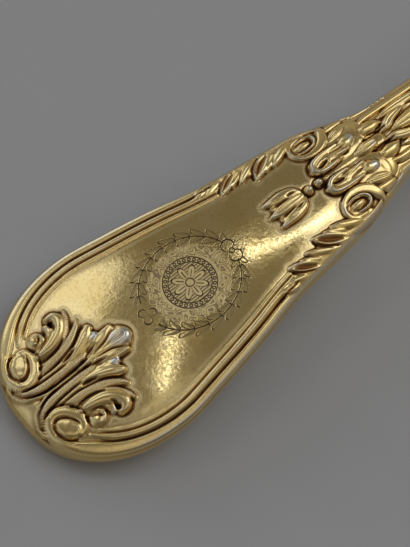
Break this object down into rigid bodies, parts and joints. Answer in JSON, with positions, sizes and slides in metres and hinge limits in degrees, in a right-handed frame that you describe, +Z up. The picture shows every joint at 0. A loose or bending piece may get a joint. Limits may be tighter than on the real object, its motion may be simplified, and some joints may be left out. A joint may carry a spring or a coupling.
{
  "type": "serving spoon",
  "caption": "Gilt serving spoon with an egg-shaped bowl, a ferrule and a loaded fiddle-shaped handle struck with reeds, scrolls, leaves and a husk.",
  "frame": {"origin": "middle of the base of the bounding box, on the surface that the spoon rests on", "axes": "+X from the handle's tip towards the bowl, +Y across the spoon, +Z up, out of the bowl"},
  "size_m": [0.2382, 0.049, 0.0242],
  "materials": {
    "gilt": "polished gilding over silver, dark in the recesses and worn on the edges",
    "pitch": "set pitch",
    "steel": "filed"
  },
  "bodies": {
    "root": {"handle_front_shell": "gilt", "handle_back_shell": "gilt", "handle_filling": "pitch", "ferrule": "gilt", "tang": "steel", "bowl": "gilt"}
  },
  "joints": []
}
